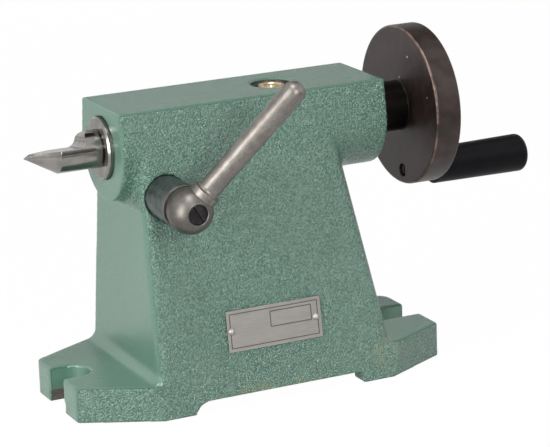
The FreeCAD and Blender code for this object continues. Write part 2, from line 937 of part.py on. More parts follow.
def lever_hub():
    """The ball hub: a neck, a ball cut flat in front, a square drive and a screw recess."""
    neck = lever_neck_diameter / 2
    back = hub_back()
    neck_end = ball_y + math.sqrt(ball_radius ** 2 - neck ** 2)
    front = ball_y - ball_front
    face = math.sqrt(ball_radius ** 2 - ball_front ** 2)
    solid = turned([
        (back, 0),
        (back, neck),
        (neck_end, neck),
        ((ball_y, ball_radius), (front, face)),
        (front, 0),
    ], on_clamp(0), along_y)
    floor = front + ball_bore_depth
    half = stud_square / 2 + stud_square_gap
    square = box(
        -clamp_ahead - half, -clamp_ahead + half, floor, back, clamp_z - half, clamp_z + half
    )
    step = back - lever_neck_length - stud_gap
    cuts = [
        square,
        rod(stud_diameter + 2 * stud_gap, on_clamp(step), along_y, back - step),
        rod(ball_bore_diameter, on_clamp(front), along_y, ball_bore_depth),
        rod(arm_stub_diameter, on_clamp(ball_y) + arm_direction() * (arm_stub_start - arm_stub_end_gap),
            arm_direction(), ball_radius),
    ]
    for cut in cuts:
        solid = solid.cut(cut)
    return solid


def lever_arm():
    """A turned arm: stub in the ball, flared foot, slim neck, slow taper and a round tip."""
    stub = arm_stub_diameter / 2 - seat_gap
    flare = arm_flare_diameter / 2
    foot = math.sqrt(ball_radius ** 2 - flare ** 2)
    flare_end = ball_radius + arm_flare_length
    neck = arm_neck_diameter / 2
    neck_at = flare_end + arm_neck_length
    tip = arm_tip_diameter / 2
    fillet = flare - neck
    soft = fillet * (1 - math.cos(math.pi / 4))
    shaft = turned([
        (foot, 0),
        (foot, flare),
        (flare_end - fillet, flare),
        ((flare_end - fillet + soft, flare - fillet + soft), (flare_end, neck)),
        (neck_at, neck),
        (arm_reach, tip),
        dome(arm_reach, tip, tip),
    ], on_clamp(ball_y), arm_direction())
    seat = Part.makeSphere(ball_radius + seat_gap, on_clamp(ball_y))
    pin = rod(
        2 * stub, on_clamp(ball_y) + arm_direction() * arm_stub_start, arm_direction(),
        neck_at - arm_stub_start,
    )
    return shaft.cut(seat).fuse(pin).removeSplitter()


def lever_screw():
    """The slotted screw in the ball that holds the lever on the stud."""
    front = ball_y - ball_front
    floor = front + ball_bore_depth
    head = ball_bore_depth - lever_screw_recess
    solid = rod(lever_screw_head, on_clamp(floor - head), along_y, head)
    solid = solid.fuse(rod(lever_screw_diameter, on_clamp(floor - head), along_y, head + lever_screw_length))
    half = lever_screw_slot / 2
    reach = lever_screw_head
    cut = box(
        -clamp_ahead - half, -clamp_ahead + half, front - cut_over, floor - head + lever_screw_slot_depth,
        clamp_z - reach, clamp_z + reach,
    )
    cut.rotate(on_clamp(0), along_y, -lever_screw_slot_turn)
    return solid.cut(cut)


def oiler_lip_under():
    """Height of the underside of the lip that keeps the ball in."""
    return oiler_seat + oiler_flange_thickness - oiler_lip


def oiler_ball_centre():
    drop = math.sqrt((oiler_ball_diameter / 2) ** 2 - (oiler_mouth_diameter / 2) ** 2)
    return Vector(oiler_rear, 0, oiler_lip_under() - drop - oiler_spring_gap)


def oiler_well_floor():
    return bore_top + oiler_stem_gap + oiler_floor


def oiler_body():
    """A brass cup pressed into the casting, with a sunk ring round its mouth."""
    foot = bore_top + oiler_stem_gap
    flange_top = oiler_seat + oiler_flange_thickness
    solid = turned([
        (foot, 0),
        (foot, oiler_stem_diameter / 2 - seat_gap),
        (oiler_seat, oiler_stem_diameter / 2 - seat_gap),
        (oiler_seat, oiler_flange_diameter / 2),
        (flange_top - oiler_flange_chamfer, oiler_flange_diameter / 2),
        (flange_top, oiler_flange_diameter / 2 - oiler_flange_chamfer),
        (flange_top, oiler_flange_diameter / 2 - oiler_rim_width),
        (flange_top - oiler_rim_depth, oiler_flange_diameter / 2 - oiler_rim_width - oiler_rim_depth),
        (flange_top - oiler_rim_depth, oiler_mouth_diameter / 2 + 2 * oiler_lip),
        (flange_top, oiler_mouth_diameter / 2 + oiler_lip),
        (flange_top, 0),
    ], Vector(oiler_rear, 0, 0), along_z)
    well = oiler_ball_diameter + 2 * oiler_well_gap
    floor = oiler_well_floor()
    solid = solid.cut(rod(well, Vector(oiler_rear, 0, floor), along_z, oiler_lip_under() - floor))
    solid = solid.cut(rod(
        oiler_mouth_diameter, Vector(oiler_rear, 0, floor), along_z, oiler_recess_depth + bore_top
    ))
    return solid.cut(rod(oiler_feed_diameter, Vector(oiler_rear, 0, foot), along_z, oiler_floor))


def oiler_ball():
    return Part.makeSphere(oiler_ball_diameter / 2, oiler_ball_centre())


def oiler_spring():
    """The ball's spring, as the plain tube that its two coils fill."""
    outer = oiler_ball_diameter - oiler_spring_wall
    inner = outer - 2 * oiler_spring_wall
    floor = oiler_well_floor() + oiler_spring_gap
    seat = Part.makeSphere(oiler_ball_diameter / 2 + oiler_spring_gap, oiler_ball_centre())
    height = oiler_ball_centre().z - floor
    tube = ring(inner, outer, Vector(oiler_rear, 0, floor), along_z, height)
    return tube.cut(seat)


def nameplate():
    """A thin plate with two engraved frame lines, otherwise bare."""
    line = 2 * plate_line_width
    low = plate_thickness - plate_line_depth
    top = plate_thickness + cut_over
    solid = plate_block(plate_length, plate_height, 0, 0, 0, plate_thickness)
    length = plate_length - 2 * plate_border_inset
    height = plate_height - 2 * plate_border_inset
    border = plate_block(length, height, 0, 0, low, top).cut(
        plate_block(length - line, height - line, 0, 0, low, top))
    field = plate_block(plate_field_length, plate_field_height, plate_field_x, plate_field_up, low, top).cut(
        plate_block(plate_field_length - line, plate_field_height - line, plate_field_x, plate_field_up,
                    low, top))
    solid = solid.cut(border).cut(field)
    for side in (-1, 1):
        start = plate_frame(side * rivet_spacing / 2, 0, -cut_over)
        length = plate_thickness + 2 * cut_over
        solid = solid.cut(rod(rivet_shank_diameter, start, plate_normal, length))
    return solid


def nameplate_rivets():
    """Two drive rivets with low domed heads."""
    rivets = []
    half = rivet_head_diameter / 2
    shank = rivet_shank_diameter / 2 - rivet_gap
    for side in (-1, 1):
        rivets.append(turned([
            (-rivet_shank_length, 0),
            (-rivet_shank_length, shank),
            (plate_thickness, shank),
            (plate_thickness, half),
            dome(plate_thickness, half, rivet_head_height),
        ], plate_frame(side * rivet_spacing / 2, 0, 0), plate_normal))
    return Part.makeCompound(rivets)


def front_thrust_washer():
    return thrust_washer(bearing_shoulder)


def rear_thrust_washer():
    return thrust_washer(collar_rear + axial_gap)


def handwheel_key():
    return wheel_key_space(seat_gap)


pieces = [
    body_casting,
    quill_sleeve,
    half_centre,
    feed_nut,
    nut_pin,
    quill_key,
    key_screw,
    feed_screw,
    front_thrust_washer,
    rear_thrust_washer,
    bearing_retainer,
    handwheel,
    handwheel_key,
    wheel_washer,
    wheel_nut,
    handle_spindle,
    snap_ring,
    handle_grip,
    front_cotter,
    rear_cotter,
    clamp_stud,
    lever_collar,
    lever_hub,
    lever_arm,
    lever_screw,
    oiler_body,
    oiler_ball,
    oiler_spring,
    nameplate,
    nameplate_rivets,
]

os.makedirs("parts", exist_ok=True)
for piece in pieces:
    shape = piece()
    shape.exportStep("parts/" + piece.__name__ + ".step")
    print(piece.__name__, shape.isValid(), len(shape.Solids), round(shape.Volume, 1))
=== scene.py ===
import math

import bmesh
import bpy
import numpy as np
from mathutils import Matrix


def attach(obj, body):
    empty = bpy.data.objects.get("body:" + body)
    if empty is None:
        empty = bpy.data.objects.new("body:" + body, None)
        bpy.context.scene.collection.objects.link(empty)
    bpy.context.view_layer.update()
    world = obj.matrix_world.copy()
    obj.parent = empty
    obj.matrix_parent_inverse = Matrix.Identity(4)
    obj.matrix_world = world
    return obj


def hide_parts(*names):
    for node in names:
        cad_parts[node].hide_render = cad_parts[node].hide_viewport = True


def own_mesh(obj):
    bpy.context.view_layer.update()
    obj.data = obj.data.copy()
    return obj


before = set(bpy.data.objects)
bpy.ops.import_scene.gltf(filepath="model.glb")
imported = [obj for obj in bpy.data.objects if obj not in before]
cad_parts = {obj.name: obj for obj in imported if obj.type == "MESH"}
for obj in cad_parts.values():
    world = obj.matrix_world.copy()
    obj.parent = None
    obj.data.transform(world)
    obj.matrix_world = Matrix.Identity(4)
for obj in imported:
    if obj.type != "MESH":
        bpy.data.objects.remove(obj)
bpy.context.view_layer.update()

# Places and sizes are in millimetres until a mesh is made; X runs along the spindle towards the
# handwheel, Z is up, and the lever and the nameplate are on the -Y side.
mm = 0.001

# The spindle line: half centre, quill, feed screw and handwheel
spindle_z = 125.0
quill_front = -70.1
quill_rear = 37.9
quill_radius = 14.98
socket_radius = 8.89
socket_taper = 0.04995
socket_depth = 64.0
centre_tip = -107.1
centre_radius = 9.15
centre_shank = 60.0
flat_above_axis = 1.7
flat_length = 25.4
flat_run_out = 3.7
flat_roll = 9.4
retainer_front = 56.09
retainer_rear = 72.3
bearing_radius = 16.98
hub_front = 73.0
hub_radius = 12.5
wheel_front = 92.1
wheel_rear = 105.9
wheel_radius = 40.0
nut_floor = 98.9
crank_y = -3.586
crank_z = 91.994
pin_radius = 4.0
grip_bore = 4.05
ring_front = 140.8
ring_rear = 142.2

# The clamp: its axis runs front to back below the quill
clamp_x = -47.6
clamp_z = 104.0
ball_y = -56.0
ball_radius = 11.0
ball_front = -65.5
hub_back = -48.55
stud_radius = 5.04
recess_radius = 4.8
recess_depth = 4.0
arm_rise = math.radians(49.6)
arm_lean = math.radians(15.2)

# The oiler on the flat top, and the nameplate on the drafted side
oiler_x = 22.3
oiler_seat = 142.4
face_draft = math.radians(8.5)
foot_half_width = 44.869
plate_x = 0.7
plate_z = 36.4
plate_thickness = 0.8
rivet_spacing = 45.0

along_x = np.array((1.0, 0.0, 0.0))
along_y = np.array((0.0, 1.0, 0.0))
along_z = np.array((0.0, 0.0, 1.0))
arm_line = np.array((
    math.cos(arm_rise) * math.cos(arm_lean), -math.sin(arm_lean), math.sin(arm_rise) * math.cos(arm_lean)
))
spindle = np.array((0.0, 0.0, spindle_z))
crank = np.array((0.0, crank_y, crank_z))
clamp = np.array((clamp_x, 0.0, clamp_z))
ball_centre = np.array((clamp_x, ball_y, clamp_z))
oiler = np.array((oiler_x, 0.0, 0.0))
plate_normal = np.array((0.0, -math.cos(face_draft), math.sin(face_draft)))
plate_centre = np.array((plate_x, plate_z * math.tan(face_draft) - foot_half_width, plate_z))


# ---- Materials ----


class Link:
    """An output in a node tree; sums, products and powers of links and numbers add Math nodes."""

    def __init__(self, tree, socket=None):
        self.tree = tree
        self.socket = socket

    def add(self, kind, settings=None, inputs=None, output=0):
        """Any other node: its settings are set first, then the values or links of its sockets."""
        node = self.tree.nodes.new(kind)
        for name, value in (settings or {}).items():
            setattr(node, name, value)
        for name, value in (inputs or {}).items():
            target = socket_of(node.inputs, name)
            if isinstance(value, Link):
                self.tree.links.new(value.socket, target)
            elif isinstance(value, tuple) and target.type == "RGBA":
                target.default_value = (*value, 1.0)
            else:
                target.default_value = value
        return Link(self.tree, socket_of(node.outputs, output)) if len(node.outputs) else None

    def math(self, operation, first, second=0.0):
        """A Math node on one or two values."""
        return self.add("ShaderNodeMath", {"operation": operation}, {0: first, 1: second})

    def __add__(self, other):
        return self.math("ADD", self, other)

    def __sub__(self, other):
        return self.math("SUBTRACT", self, other)

    def __rsub__(self, other):
        return self.math("SUBTRACT", other, self)

    def __mul__(self, other):
        return self.math("MULTIPLY", self, other)

    def __pow__(self, other):
        return self.math("POWER", self, other)

    __radd__ = __add__
    __rmul__ = __mul__


def socket_of(sockets, name):
    """A socket by its number, or by its identifier."""
    if isinstance(name, int):
        return sockets[name]
    return next(socket for socket in sockets if socket.identifier == name)


def new_tree(owner):
    """The empty node tree of a material or a world."""
    owner.use_nodes = True
    owner.node_tree.nodes.clear()
    return Link(owner.node_tree)


def place_on(start):
    """Object coordinates, turned from metres to millimetres."""
    place = start.add("ShaderNodeTexCoord", output="Object")
    return place.add("ShaderNodeMapping", inputs={"Vector": place, "Scale": (1000.0, 1000.0, 1000.0)})


def axis_parts(place):
    """The x, y and z of a place."""
    parts = place.add("ShaderNodeSeparateXYZ", inputs={"Vector": place})
    outputs = parts.socket.node.outputs
    return [Link(place.tree, outputs[i]) for i in range(3)]


def stretched(place, scale, turn=(0.0, 0.0, 0.0)):
    """The place turned, then scaled, so that a pattern on it is drawn out along a line."""
    level = place.add("ShaderNodeMapping", inputs={"Vector": place, "Rotation": turn})
    return place.add("ShaderNodeMapping", inputs={"Vector": level, "Scale": scale})


def noise(place, size, detail=2.0, rough=0.5, twist=0.0):
    """Noise whose spots are about a size in millimetres across."""
    return place.add("ShaderNodeTexNoise", inputs={
        "Vector": place, "Scale": 1.0 / size, "Detail": detail, "Roughness": rough, "Distortion": twist,
    })


def band(value, low, high):
    """A soft step from 0 at low to 1 at high."""
    return value.add("ShaderNodeMapRange", {"interpolation_type": "SMOOTHSTEP"}, {
        "Value": value, "From Min": low, "From Max": high,
    })


def blend(factor, first, second):
    """A colour between two colours."""
    return factor.add("ShaderNodeMix", {"data_type": "RGBA"}, {
        "Factor_Float": factor, "A_Color": first, "B_Color": second,
    }, "Result_Color")


def bumped(height, strength, depth):
    """The normal of a surface with a height of the given depth in millimetres."""
    return height.add("ShaderNodeBump", inputs={
        "Strength": strength, "Distance": depth * mm, "Height": height,
    })


def surface(start, inputs):
    """The material's one surface shader, with its sockets."""
    shader = start.add("ShaderNodeBsdfPrincipled", inputs=inputs)
    start.add("ShaderNodeOutputMaterial", inputs={"Surface": shader})


def finish_of(name):
    """A new material and the start of its node tree."""
    material = bpy.data.materials.new(name)
    return material, new_tree(material)


def larger(*masks):
    """The largest of some masks, point by point."""
    most = masks[0]
    for mask in masks[1:]:
        most = most.math("MAXIMUM", most, mask)
    return most


def size_of(value):
    """A value without its sign."""
    return value.math("ABSOLUTE", value)


def within(value, limit, fade):
    """1 where a value is below its limit, with a soft edge of the given width inside the limit."""
    return band(limit - value, 0.0, fade)


def off_line(first, second):
    """The distance from a line, from two distances square to it."""
    return (first * first + second * second) ** 0.5


def smooth_paint_and_sheen(x, y, z):
    """Where the paint lies smooth, which also marks where a lighter tone is painted as a painted sheen:
    the leaning end walls, the flat top, the barrel's front face, and the bolt slots and tips of the lugs."""
    front_wall, front_lean = 60.7, 0.0105
    rear_wall, rear_lean = 66.5, 0.1853
    lug_top = 16.6
    barrel_low = 100.0
    flat_top = 144.2
    barrel_front = 67.1
    slot_side = 8.95
    slot_end = 65.0
    tip = 96.6
    from_middle = size_of(x)
    front = band(z * front_lean - front_wall - x, -1.6, -0.4)
    rear = band(x + z * rear_lean - rear_wall, -0.4, 0.2)
    walls = larger(front, rear) * band(z, lug_top, lug_top + 0.5) * within(z, barrel_low, 3.0)
    top = band(z, flat_top, flat_top + 0.6)
    face = band(-barrel_front - x, -0.3, 0.3) * band(z, 80.0, 90.0)
    slots = within(size_of(y), slot_side, 0.2) * band(from_middle, slot_end, slot_end + 1.0)
    tips = band(from_middle, tip, tip + 0.5)
    return larger(walls, top, face, larger(slots, tips) * within(z, 18.0, 0.2))


def machined_iron(x, y, z):
    """Where the casting is machined and bare: the spindle's and the bearing's bores, the clamp's bore,
    the sole and the tenon groove. Each limit stands a little outside its face."""
    quill_bore = 15.35
    bearing_bore, bearing_front, bearing_rear = 17.4, 45.6, 72.6
    clamp_bore, clamp_bore_end = 10.75, 24.2
    sole = 0.35
    groove_side, groove_top = 10.15, 5.6
    from_spindle = off_line(y, z - spindle_z)
    from_clamp = off_line(x - clamp_x, z - clamp_z)
    bearing = within(from_spindle, bearing_bore, 0.3) * band(bearing_rear - x, -0.2, 0.1)
    return larger(
        bearing * band(x - bearing_front, 0.0, 0.4),
        within(from_spindle, quill_bore, 0.25),
        within(from_clamp, clamp_bore, 0.2) * within(y, clamp_bore_end, 0.2),
        within(z, sole, 0.2),
        within(size_of(y), groove_side, 0.2) * within(z, groove_top, 0.2),
    )


def oiler_well_painted_shade(x, y, z):
    """Where the recess round the oiler lies: bare iron whose floor and wall are painted near-black as
    painted shade.
    """
    well_radius, well_floor, well_mouth = 10.7, 141.0, 144.6
    inside_wall = within(off_line(x - oiler_x, y), well_radius, 0.3)
    return inside_wall * band(z - well_floor, 0.0, 0.5) * within(z, well_mouth, 0.4)


def rust_stain(place, x, z):
    """A broken stain low on the rear lug and along the arch's edge."""
    spot_x, spot_z, spot_radius = 60.0, 15.0, 14.0
    arch_side, arch_top = 34.0, 12.0
    spot = within(off_line(x - spot_x, z - spot_z), spot_radius, 10.0)
    arch_edge = within(size_of(x), arch_side, 20.0) * within(z, arch_top, 5.0)
    return larger(spot, arch_edge) * band(noise(place, 5.0, 3.0), 0.3, 0.7)


def hammertone_enamel():
    """Glossy hammered enamel: fine worm-like cells on the sides, smooth paint on the top and the end walls
    in a lighter tone that is a painted sheen, bare iron in the bores and under the feet, and painted shade
    in the oiler's recess."""
    material, start = finish_of("hammertone_enamel")
    place = place_on(start)
    x, y, z = axis_parts(place)
    warp = place.add(
        "ShaderNodeTexNoise", inputs={"Vector": place, "Scale": 0.6, "Detail": 1.0}, output="Color"
    )
    shifted = warp.add("ShaderNodeVectorMath", {"operation": "MULTIPLY_ADD"}, {
        0: warp, 1: (0.9, 0.9, 0.9), 2: place,
    })
    worms = noise(shifted, 0.85, 1.0, 0.5, 0.6)
    crown = band(worms, 0.34, 0.66)
    smooth = smooth_paint_and_sheen(x, y, z)
    texture = 1.0 - smooth * 0.85
    # painted sheen: smooth paint takes a lighter tone, standing for the pale reflection on the top and the
    # end walls
    green = blend(crown * texture + smooth * 0.72, (0.020, 0.084, 0.054), (0.098, 0.206, 0.152))
    cloud = noise(place, 26.0)
    green = blend(band(cloud, 0.35, 0.7) * 0.15, green, (0.11, 0.195, 0.15))
    green = blend(rust_stain(place, x, z) * 0.4, green, (0.20, 0.225, 0.11))
    iron = blend(noise(place, 2.5, 3.0), (0.060, 0.043, 0.034), (0.15, 0.115, 0.092))
    well_painted_shade = oiler_well_painted_shade(x, y, z)
    # painted shade: the recess round the oiler is painted near-black, standing for the shade inside it
    iron = blend(well_painted_shade, iron, (0.018, 0.013, 0.010))
    bare = larger(machined_iron(x, y, z), well_painted_shade)
    surface(start, {
        "Base Color": blend(bare, green, iron),
        "Metallic": bare * 0.5,
        "Roughness": band(noise(place, 3.0), 0.3, 0.7) * 0.04 + 0.11 + smooth * 0.08 + bare * 0.3,
        "Normal": bumped(worms * texture * (1.0 - bare), 1.0, 1.1),
        "IOR": 1.5,
        "Specular IOR Level": 0.9,
    })
    return material


def ground_steel():
    """Ground steel: fine marks round the spindle line and a faint grey mottle."""
    material, start = finish_of("ground_steel")
    place = place_on(start)
    marks = noise(stretched(place, (6.0, 0.25, 0.25)), 1.0, 3.0, 0.6)
    cloud = noise(place, 7.0, 2.0)
    surface(start, {
        "Base Color": blend(band(cloud, 0.3, 0.7), (0.205, 0.195, 0.180), (0.295, 0.281, 0.262)),
        "Metallic": 1.0,
        "Roughness": marks * 0.1 + 0.12,
        "Normal": bumped(marks, 0.2, 0.012),
    })
    return material


def satin_nickel(name, dull, bright):
    """Warm satin plating with fine streaks along the lever arm."""
    material, start = finish_of(name)
    place = place_on(start)
    streaks = noise(stretched(place, (0.1, 1.6, 1.6), (0.0, arm_rise, 0.0)), 1.0, 4.0, 0.6)
    cloud = noise(place, 5.0, 2.0)
    tone = band(streaks, 0.3, 0.72) * 0.6 + band(cloud, 0.35, 0.65) * 0.4
    surface(start, {
        "Base Color": blend(tone, dull, bright),
        "Metallic": 1.0,
        "Roughness": streaks * 0.12 + 0.38,
        "Normal": bumped(streaks, 0.2, 0.02),
    })
    return material


def blackened_steel(name, dull, bright):
    """Oil-blackened steel with a slightly uneven sheen."""
    material, start = finish_of(name)
    place = place_on(start)
    cloud = noise(place, 3.0, 3.0)
    surface(start, {
        "Base Color": blend(band(cloud, 0.3, 0.7), dull, bright),
        "Metallic": 0.75,
        "Roughness": cloud * 0.15 + 0.25,
    })
    return material


def browned_iron():
    """Brown-black wheel: turned marks round the spindle, coppery at the rim's worn edges with a painted
    highlight there, bright dings with painted glints on the face, and painted shade on the hub.
    """
    material, start = finish_of("browned_iron")
    place = place_on(start)
    x, y, z = axis_parts(place)
    from_spindle = off_line(y, z - spindle_z)
    cloud = noise(place, 6.0, 3.0)
    grain = noise(place, 0.5, 2.0)
    unrolled = x.add("ShaderNodeCombineXYZ", inputs={"X": from_spindle * 1.6, "Y": x * 1.2})
    rings = noise(unrolled, 1.0)
    # the rim's edges are coppery partly as wear and partly as a painted highlight along them
    front_edge = band(from_spindle - wheel_radius, -1.1, -0.6) * band(wheel_front - x, -1.1, -0.6)
    rear_edge = band(from_spindle - wheel_radius, -1.2, -0.5) * band(x - wheel_rear, -1.2, -0.5)
    rim_wear_and_highlight = (front_edge + rear_edge * 0.4) * band(cloud, 0.25, 0.6)
    # painted shade: the hub between the barrel and the wheel is painted near-black, standing for the shade
    # that falls there
    hub = within(from_spindle, hub_radius + 0.9, 0.6) * within(x, wheel_front + 0.4, 0.4)
    dark = blend(band(cloud, 0.3, 0.7), (0.020, 0.0120, 0.0105), (0.038, 0.0245, 0.0215))
    dark = blend(hub, dark, (0.006, 0.004, 0.0035))
    # bright spots on the face: dents whose glints are painted into their colour as painted highlights
    ding_radius = 0.75
    dings_and_glints = [
        within(off_line(y - ding_y, z - ding_z), ding_radius, 0.5) * strength
        for ding_y, ding_z, strength in ((-10.6, 151.2, 1.0), (-1.9, 139.5, 0.8), (-30.1, 134.2, 0.5))
    ]
    on_face = within(x, wheel_front + 0.5, 0.3)
    dark = blend((dings_and_glints[0] + dings_and_glints[1] + dings_and_glints[2]) * on_face, dark, (0.62, 0.58, 0.54))
    surface(start, {
        "Base Color": blend(rim_wear_and_highlight * 0.75, dark, (0.25, 0.165, 0.14)),
        "Metallic": rim_wear_and_highlight * 0.5 + 0.35 + hub * 0.5,
        "Roughness": cloud * 0.14 + grain * 0.08 + 0.27,
        "Normal": bumped(rings * 0.7 + grain * 0.3, 0.22, 0.03),
    })
    return material


def black_plastic():
    """Moulded black plastic, faintly grained."""
    material, start = finish_of("black_plastic")
    place = place_on(start)
    grain = noise(place, 0.6, 2.0)
    cloud = noise(place, 9.0, 2.0)
    surface(start, {
        "Base Color": blend(cloud, (0.003, 0.003, 0.004), (0.0055, 0.0056, 0.007)),
        "Roughness": cloud * 0.12 + 0.34,
        "Normal": bumped(grain, 0.12, 0.02),
        "Specular IOR Level": 0.09,
    })
    return material


def copper_alloy(name, dull, bright):
    """Turned brass or bronze, a little tarnished."""
    material, start = finish_of(name)
    place = place_on(start)
    cloud = noise(place, 1.8, 3.0)
    surface(start, {
        "Base Color": blend(band(cloud, 0.3, 0.7), dull, bright),
        "Metallic": 1.0,
        "Roughness": cloud * 0.2 + 0.2,
    })
    return material


def plate_aluminium():
    """Warm grey anodised sheet, brushed along its length."""
    material, start = finish_of("plate_aluminium")
    place = place_on(start)
    brush = noise(stretched(place, (0.12, 4.0, 4.0)), 1.0, 3.0, 0.6)
    cloud = noise(place, 8.0, 2.0)
    y, z = axis_parts(place)[1:]
    out = y * float(plate_normal[1]) + z * float(plate_normal[2]) - float(plate_centre @ plate_normal)
    line = within(out, plate_thickness - 0.06, 0.1)
    tone = band(brush, 0.3, 0.7) * 0.5 + cloud * 0.5
    bright = blend(tone, (0.295, 0.278, 0.258), (0.405, 0.387, 0.364))
    surface(start, {
        "Base Color": blend(line * 0.75, bright, (0.05, 0.048, 0.045)),
        "Metallic": 0.85,
        "Roughness": brush * 0.15 + 0.33,
        "Normal": bumped(brush, 0.15, 0.02),
    })
    return material


paints = {
    "green_enamel": hammertone_enamel(),
    "ground_steel": ground_steel(),
    "satin_nickel": satin_nickel("satin_nickel", (0.150, 0.136, 0.123), (0.245, 0.228, 0.209)),
    "ball_nickel": satin_nickel("ball_nickel", (0.098, 0.091, 0.081), (0.172, 0.162, 0.147)),
    "blackened_steel": blackened_steel("blackened_steel", (0.055, 0.069, 0.066), (0.105, 0.126, 0.121)),
    "black_screw": blackened_steel("black_screw", (0.016, 0.015, 0.016), (0.040, 0.037, 0.039)),
    "browned_iron": browned_iron(),
    "black_plastic": black_plastic(),
    "brass": copper_alloy("brass", (0.40, 0.285, 0.15), (0.72, 0.56, 0.34)),
    "bronze": copper_alloy("bronze", (0.42, 0.25, 0.11), (0.62, 0.40, 0.20)),
    "plate_aluminium": plate_aluminium(),
}


# ---- Shapes ----


def square_to(axis):
    """Two unit vectors square to an axis and to each other."""
    helper = along_y if abs(axis[1]) < 0.5 else along_x
    out = np.cross(axis, helper)
    out = out / np.linalg.norm(out)
    return np.cross(out, axis), out


def rounded(corners, closed=False, arc=5, hold=0.12):
    """A profile with its corners rounded: each (s, r, radius) becomes an arc tangent to both of its
    sides, with a point just before and just after it, so that the faces beside it shade flat."""
    data = np.array(corners, float)
    spots = data[:, :2]
    radii = data[:, 2]
    before = np.roll(spots, 1, axis=0) - spots
    after = np.roll(spots, -1, axis=0) - spots
    reach_before = np.linalg.norm(before, axis=1)
    reach_after = np.linalg.norm(after, axis=1)
    u = before / reach_before[:, None]
    v = after / reach_after[:, None]
    turn = np.arccos(np.clip(np.einsum("ij,ij->i", u, v), -0.999999, 0.999999))
    tangent = np.minimum(radii / np.tan(turn / 2), 0.45 * np.minimum(reach_before, reach_after))
    radii = tangent * np.tan(turn / 2)
    middle = u + v
    middle = middle / np.maximum(np.linalg.norm(middle, axis=1), 1e-9)[:, None]
    centre = spots + middle * (radii / np.sin(turn / 2))[:, None]
    start = spots + u * tangent[:, None] - centre
    end = spots + v * tangent[:, None] - centre
    sweep = np.pi - turn
    weight = np.linspace(0.0, 1.0, arc)[None, :, None]
    angle = np.maximum(sweep, 1e-6)[:, None, None]
    arcs = (np.sin((1 - weight) * angle) * start[:, None] + np.sin(weight * angle) * end[:, None])
    arcs = arcs / np.sin(angle) + centre[:, None]
    gap_before = tangent + np.minimum(hold, 0.2 * (reach_before - tangent))
    gap_after = tangent + np.minimum(hold, 0.2 * (reach_after - tangent))
    rows = np.concatenate([
        (spots + u * gap_before[:, None])[:, None], arcs, (spots + v * gap_after[:, None])[:, None],
    ], axis=1)
    if closed:
        line = rows.reshape(-1, 2)
    else:
        line = np.concatenate([spots[:1], rows[1:-1].reshape(-1, 2), spots[-1:]])
    step = np.linalg.norm(np.diff(line, axis=0, prepend=line[:1] - 1.0), axis=1)
    return line[step > 1e-5]


def quads(rows, columns, wrap_rows, wrap_columns):
    """The four corners of each cell of a grid, as whole arrays of point numbers."""
    i = np.arange(rows if wrap_rows else rows - 1)
    j = np.arange(columns if wrap_columns else columns - 1)
    i, j = np.meshgrid(i, j, indexing="ij")
    down = (i + 1) % rows
    over = (j + 1) % columns
    cells = np.stack([i * columns + j, i * columns + over, down * columns + over, down * columns + j], -1)
    return cells.reshape(-1, 4)


def turned(profile, origin, axis, steps=144):
    """A surface of revolution: (s, r) goes to origin + s axis + r (cos turn side + sin turn out), with
    the turns in equal steps. A profile with its ends on the axis gets a pole there, any other closes
    on itself."""
    side, out = square_to(axis)
    poled = profile[0, 1] < 1e-6 and profile[-1, 1] < 1e-6
    rows = profile[1:-1] if poled else profile
    turns = np.linspace(0.0, 2 * np.pi, steps, endpoint=False)
    circle = np.cos(turns)[:, None] * side + np.sin(turns)[:, None] * out
    points = origin + rows[:, None, :1] * axis + rows[:, None, 1:] * circle[None]
    points = points.reshape(-1, 3)
    faces = quads(len(rows), steps, not poled, True).tolist()
    if poled:
        ends = origin + profile[[0, -1], :1] * axis
        ring = np.arange(steps)
        following = (ring + 1) % steps
        last = len(points) - steps
        first_pole = np.full(steps, len(points))
        faces += np.stack([first_pole, following, ring], -1).tolist()
        faces += np.stack([first_pole + 1, last + ring, last + following], -1).tolist()
        points = np.concatenate([points, ends])
    return points, faces


def linked(name, data):
    """A new object in the scene, at the origin."""
    piece = bpy.data.objects.new(name, data)
    bpy.context.scene.collection.objects.link(piece)
    return piece


def solid(name, points, faces):
    """A closed mesh object with its faces outwards."""
    mesh = bpy.data.meshes.new(name)
    mesh.from_pydata((points * mm).tolist(), [], faces)
    work = bmesh.new()
    work.from_mesh(mesh)
    bmesh.ops.remove_doubles(work, verts=work.verts, dist=1e-7)
    bmesh.ops.recalc_face_normals(work, faces=work.faces)
    work.to_mesh(mesh)
    work.free()
    return linked(name, mesh)


def settled(piece):
    """The piece with its modifiers worked into its mesh."""
    bpy.context.view_layer.update()
    graph = bpy.context.evaluated_depsgraph_get()
    mesh = bpy.data.meshes.new_from_object(piece.evaluated_get(graph))
    piece.modifiers.clear()
    piece.data = mesh
    return piece


def drop(pieces):
    """The pieces taken out of the scene."""
    for piece in pieces:
        bpy.data.objects.remove(piece)


def block(low, high):
    """A cutting block between two corners."""
    corner = np.array([(i, j, k) for i in (0, 1) for j in (0, 1) for k in (0, 1)], float)
    points = np.array(low) + corner * (np.array(high) - np.array(low))
    faces = [(0, 1, 3, 2), (4, 6, 7, 5), (0, 4, 5, 1), (2, 3, 7, 6), (0, 2, 6, 4), (1, 5, 7, 3)]
    return solid("cutter", points, faces)


def rod(radius, start, axis, length, steps=96):
    """A cutting cylinder from a start point along an axis."""
    profile = np.array([(0.0, 0.0), (0.0, radius), (length, radius), (length, 0.0)])
    return solid("cutter", *turned(profile, np.array(start, float), axis, steps))


def prism(line_x, line_z, y0, y1):
    """A cutting block: an outline in x and z drawn out from y0 to y1."""
    count = len(line_x)
    near = np.stack([line_x, np.full(count, y0), line_z], -1)
    far = np.stack([line_x, np.full(count, y1), line_z], -1)
    faces = quads(2, count, False, True).tolist()
    faces += [list(range(count)), list(range(2 * count - 1, count - 1, -1))]
    return solid("cutter", np.concatenate([near, far]), faces)


